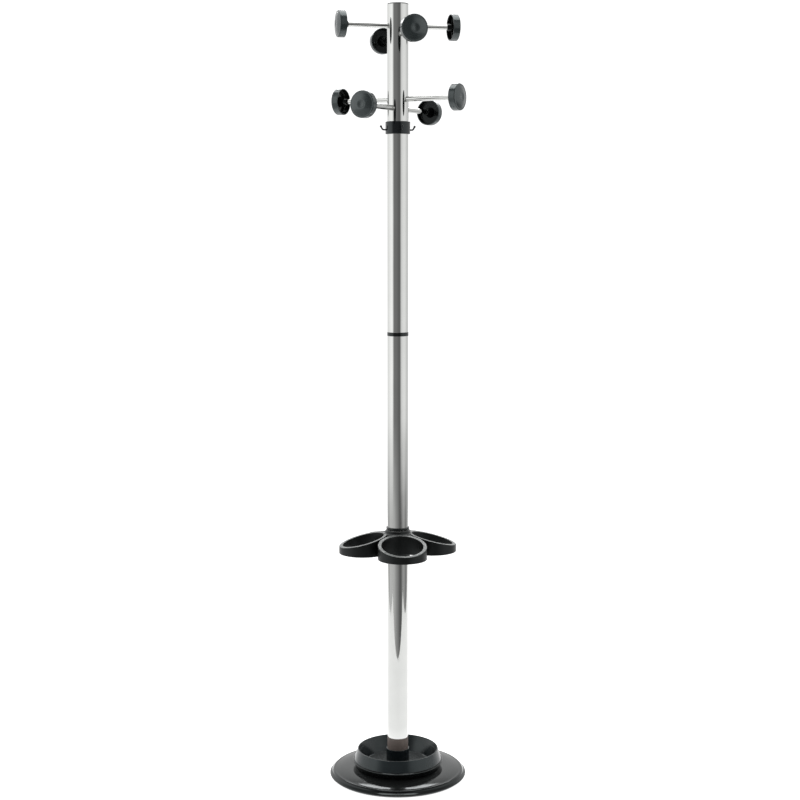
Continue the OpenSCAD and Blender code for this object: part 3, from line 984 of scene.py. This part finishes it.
boss = turned(
    section([(0, 16), (1.8, 16), (1.8, 4.7), (5.5, 4.7, 0.3), (5.5, 20.5), (0, 20.5)], closed=False),
    GLOSS_ABS,
    32,
)
bosses = around(moved(boss, out_by(SCREW_REACH)), 4, GLOSS_ABS, first=45)
cover = smooth(cut(shell, [bosses], "UNION"), 28)
piece("base_cover", cover)
print("base cover:", len(cover.polygons), "faces; top at", TOP_Z, "mm")

# %% [markdown]
# Under it are six rubber pads and four countersunk screws. Both come from the ring tree. The
# screws have a round socket recess and a thread, drawn as ridges.

# %% Make the feet and the screws
FOOT_R, FOOT_REACH = 9, 132
foot_line = [(0, 0), (FOOT_R, 0, 0.6), (FOOT_R, FOOT_H, 0.1), (0, FOOT_H)]
foot = turned(section(foot_line, closed=False), FOOT_RUBBER, 48)
feet = around(moved(foot, out_by(FOOT_REACH)), 6, FOOT_RUBBER)
piece("base_feet", feet)

CREST_R, ROOT_R, HALF_PITCH = 1.75, 1.45, 0.4
thread = [(CREST_R if k % 2 else ROOT_R, 4.0 + HALF_PITCH * k) for k in range(1, 23)]
screw = turned(
    section(
        [(0, 2.8), (1.15, 2.8), (1.15, 2.02), (3.9, 2.02, 0.1), (1.9, 3.15, 0.1), (1.5, 3.8),
         *thread, (0, 13.8)],
        closed=False,
    ),
    ZINC,
    36,
)
screws = around(moved(screw, out_by(SCREW_REACH)), 4, ZINC, first=45)
piece("plate_screws", screws)
print("feet:", len(feet.polygons), "faces; screws:", len(screws.polygons), "faces")

# %% [markdown]
# ## The drip tray and the foot of the pole
#
# The tray stands on a tapered ring with a lip. Its skirt leans inwards, its rim is thin, and
# inside a funnel wall runs down to a flat floor. The pole comes up through a chimney in the
# middle, so water from umbrellas stays in the tray.

# %% Turn the tray seat, the tray and the socket
SEAT_Z = levels("tray_seat")[0]
seat = [
    (26, SEAT_Z), (97, SEAT_Z, 0.4), (99, SEAT_Z + 1, 0.4), (104.8, 34.2, 0.6),
    (106, 34.9, 0.5), (106, 36.5, 0.6), (104.2, 37.5, 0.5), (100.8, 37.5, 0.3),
    (100.6, 34, 0.8), (95, SEAT_Z + 2.7, 1), (26, SEAT_Z + 2.7, 0.3),
]
piece("tray_seat", turned(section(seat), GLOSS_ABS, 192))

TRAY_TOP = levels("drip_tray")[1]
tray = [
    (102.4, 37.6, 0.3), (94.3, TRAY_TOP, 0.9), (92.4, TRAY_TOP, 0.8), (77, 27.6, 3),
    (26.8, 27.6, 2), (26.8, TRAY_TOP, 0.5), (24.9, TRAY_TOP, 0.2), (24.9, 25.2, 0.3),
    (76, 25.2, 1.5), (88.8, 55.5, 1), (91.5, 55.5, 0.5), (100, 37.6, 0.2),
]
piece("drip_tray", turned(section(tray), TRAY_ABS, 192))

SOCKET_R = radius("pole_socket")
TUBE_Z = levels("lower_tube")[0]
z0, z1 = levels("pole_socket")
socket = [
    (5.3, z0), (SOCKET_R, z0, 0.4), (SOCKET_R, TUBE_Z, 0.4), (PLUG_R, TUBE_Z),
    (PLUG_R, z1, 0.6), (9.5, z1, 0.3), (9.5, TUBE_Z + 4), (5.3, TUBE_Z + 4),
]
piece("pole_socket", turned(section(socket), GLASS_NYLON, 128))
print("tray rim at", TRAY_TOP, "mm; tube starts at", TUBE_Z, "mm")

# %% [markdown]
# ## Parts that stay as they are
#
# The weight, the bottom plate, the bolt and the set screws are inside or under the rack.
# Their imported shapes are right, so they only get their finish.

# %% Finish the hidden parts
KEPT = {
    "base_weight": CAST_IRON, "base_plate": BLACK_STEEL, "base_bolt": ZINC,
    "base_washer": ZINC, "anchor_nut": ZINC, "stop_ring": SATIN_PP,
    "stop_ring_screws": BLACK_STEEL, "upper_rod_core": SATIN_PP,
    "lower_rod_core": SATIN_PP, "rod_set_screws": BLACK_STEEL, "knob_inserts": BRASS,
}
for node, finish in KEPT.items():
    mesh = frame["nodes"][node].data
    mesh.materials.clear()
    mesh.materials.append(finish)
print("kept parts:", len(KEPT))

# %% [markdown]
# ## The studio
#
# Chrome has no look of its own: it shows the room. A studio for shiny goods has white cards
# on both sides and a dark side towards the camera, so that a tube gets a dark stripe with a
# soft edge between two bright ones. Here the room is painted into the world as brightness by
# compass direction, with zero towards the camera, in one row for eye level and above and in
# another for a little below it. High up the room goes dark, as under a studio ceiling. A ray
# from the camera itself sees plain white, which is the clean backdrop.

# %% Paint the room
CAMERA_TURN = -15.5
ROOM = [  # direction in degrees, brightness at and above eye level
    (-180, 1.05), (-140, 1.05), (-118, 1.12), (-95, 1.28), (-62, 1.38), (-52, 0.72), (-42, 0.25),
    (-14, 0.23), (6, 0.18), (20, 0.15), (27, 0.25), (36, 0.86), (58, 1.08), (84, 1.10),
    (108, 0.92), (121, 0.75), (145, 0.92), (180, 1.05),
]
LOW_ROOM = [  # the same a little below it
    (-180, 0.80), (-120, 0.50), (-95, 0.72), (-60, 0.66), (-38, 0.60), (-20, 0.42), (0, 0.30),
    (16, 0.18), (28, 0.12), (42, 0.20), (60, 0.44), (76, 0.44), (98, 0.25), (125, 0.50),
    (180, 0.80),
]
LOW_END, LOW_START = -0.20, -0.13  # how steeply a ray falls where the rows change over
CEILING_START, CEILING_END, CEILING_LEVEL = 0.5, 0.8, 0.25
BACKDROP = 1.15
print("room painted with", len(ROOM), "and", len(LOW_ROOM), "directions")

# %% [markdown]
# Two colour ramps hold the two rows. The direction of a ray comes from Texture Coordinate,
# and is turned so that zero faces the camera.

# %% Build the room in nodes
world = bpy.data.worlds.new("studio")
bpy.context.scene.world = world
world.use_nodes = True
t = world.node_tree
background = t.nodes["Background"]
looking = add(
    t,
    "ShaderNodeMapping",
    {"Vector": add(t, "ShaderNodeTexCoord").outputs["Generated"],
     "Rotation": (0, 0, math.radians(-CAMERA_TURN))},
)
way = add(t, "ShaderNodeSeparateXYZ", {0: looking.outputs[0]})
compass = math_of(t, "ARCTAN2", way.outputs["X"], math_of(t, "MULTIPLY", way.outputs["Y"], -1.0))
share = add(
    t, "ShaderNodeMapRange", {"Value": compass, "From Min": -math.pi, "From Max": math.pi}
)


def painted(cards):
    node = add(t, "ShaderNodeValToRGB", {"Fac": share.outputs[0]})
    stops = node.color_ramp.elements
    for k, (degrees, level) in enumerate(cards):
        place = (degrees + 180) / 360
        stop = stops[0] if k == 0 else stops[-1] if degrees == 180 else stops.new(place)
        stop.position = place
        stop.color = (level, level, level, 1)
    return node.outputs[0]


upper, lower = painted(ROOM), painted(LOW_ROOM)
height = add(
    t,
    "ShaderNodeMapRange",
    {"Value": way.outputs["Z"], "From Min": LOW_END, "From Max": LOW_START},
)
ceiling = add(
    t,
    "ShaderNodeMapRange",
    {"Value": way.outputs["Z"], "From Min": CEILING_START, "From Max": CEILING_END,
     "To Min": 1.0, "To Max": CEILING_LEVEL},
)
walls = add(t, "ShaderNodeMix", {0: height.outputs[0], MIX_A: lower, MIX_B: upper}, data_type="RGBA")
room = math_of(t, "MULTIPLY", walls.outputs[MIXED], ceiling.outputs[0])
seen_white = add(
    t,
    "ShaderNodeMix",
    {0: add(t, "ShaderNodeLightPath").outputs["Is Camera Ray"], 2: room, 3: BACKDROP},
)
t.links.new(seen_white.outputs[0], background.inputs["Color"])
print("studio nodes:", len(t.nodes))

# %% [markdown]
# Two softboxes give the highlights: a wide one overhead, and a narrow strip high up behind
# the rack that draws the bright arc on the rolled edge of the base. The floor is a white table
# that is lit from inside. It ends about a metre in front of the rack, and the darker room
# beyond its edge is why the stripe in the chrome runs out to a point above the foot.


# %% Add the lights
def softbox(name, size, watts, place, target):
    light = bpy.data.lights.new(name, "AREA")
    light.shape = "RECTANGLE"
    light.size, light.size_y = size
    light.energy = watts
    made = bpy.data.objects.new(name, light)
    bpy.context.scene.collection.objects.link(made)
    made.visible_camera = False
    made.matrix_world = turn_z(CAMERA_TURN) @ (
        Matrix.Translation(place)
        @ (Vector(target) - Vector(place)).to_track_quat("-Z", "Y").to_matrix().to_4x4()
    )
    return made


softbox("overhead", size=(1.8, 1.8), watts=30, place=(0, 0.3, 3.2), target=(0, 0, 0.6))
softbox("strip", size=(3.4, 0.55), watts=36, place=(0, 2.9, 2.9), target=(0, 0, 0.2))
print("lights:", [light.name for light in bpy.data.lights])

# %% [markdown]
# The table's glow is stronger close to the base, so that the base throws only a faint shadow.

# %% Lay the table
TABLE_FRONT, TABLE_BACK, TABLE_SIDE = -0.98, 3.0, 1.5
TABLE_GLOW, BASE_GLOW = 0.43, 0.95
GLOW_START, GLOW_END = 0.17, 0.36  # distances from the pole, in metres
table = bpy.data.materials.new("lit_white_table")
table.use_nodes = True
t = table.node_tree
on_table = add(t, "ShaderNodeTexCoord").outputs["Object"]
paper = add(t, "ShaderNodeTexNoise", {"Vector": on_table, "Scale": 2.0})
tint = add(
    t,
    "ShaderNodeMix",
    {0: paper.outputs["Fac"], MIX_A: linear("F8F8F8"), MIX_B: linear("FCFCFC")},
    data_type="RGBA",
)
shader = t.nodes["Principled BSDF"]
t.links.new(tint.outputs[MIXED], shader.inputs["Base Color"])
shader.inputs["Roughness"].default_value = 0.9
shader.inputs["Emission Color"].default_value = (1, 1, 1, 1)
from_pole = add(t, "ShaderNodeVectorMath", {0: on_table}, operation="LENGTH").outputs["Value"]
glow = add(
    t,
    "ShaderNodeMapRange",
    {"Value": from_pole, "From Min": GLOW_START, "From Max": GLOW_END,
     "To Min": BASE_GLOW, "To Max": TABLE_GLOW},
)
t.links.new(glow.outputs[0], shader.inputs["Emission Strength"])
sheet = bpy.data.meshes.new("floor")
sheet.from_pydata(
    [(-TABLE_SIDE, TABLE_FRONT, 0), (TABLE_SIDE, TABLE_FRONT, 0), (TABLE_SIDE, TABLE_BACK, 0),
     (-TABLE_SIDE, TABLE_BACK, 0)],
    [],
    [(0, 1, 2, 3)],
)
sheet.transform(turn_z(CAMERA_TURN))
sheet.materials.append(table)
floor = bpy.data.objects.new("floor", sheet)
bpy.context.scene.collection.objects.link(floor)
print("table ends", -TABLE_FRONT, "m in front of the pole")

# %% [markdown]
# ## The camera
#
# The camera stands three and a half metres away, at chest height, a little to the left, and
# looks slightly down. A long lens keeps the pole almost parallel. The film response is set to
# Standard, so that white stays white.

# %% Set the camera
DISTANCE, EYE_HEIGHT, LOOK_DOWN, LENS, SHIFT = 3.4446, 1.31, 6.94, 67.94, 0.00275
camera = bpy.data.objects.new("camera", bpy.data.cameras.new("camera"))
bpy.context.scene.collection.objects.link(camera)
camera.data.lens = LENS
camera.data.sensor_width = 36.0
camera.data.shift_x = SHIFT
camera.matrix_world = (
    turn_z(CAMERA_TURN)
    @ Matrix.Translation((0, -DISTANCE, EYE_HEIGHT))
    @ Matrix.Rotation(math.radians(90 - LOOK_DOWN), 4, "X")
)
bpy.context.scene.camera = camera
bpy.context.scene.view_settings.view_transform = "Standard"
print("camera at", [round(c, 3) for c in camera.matrix_world.translation])
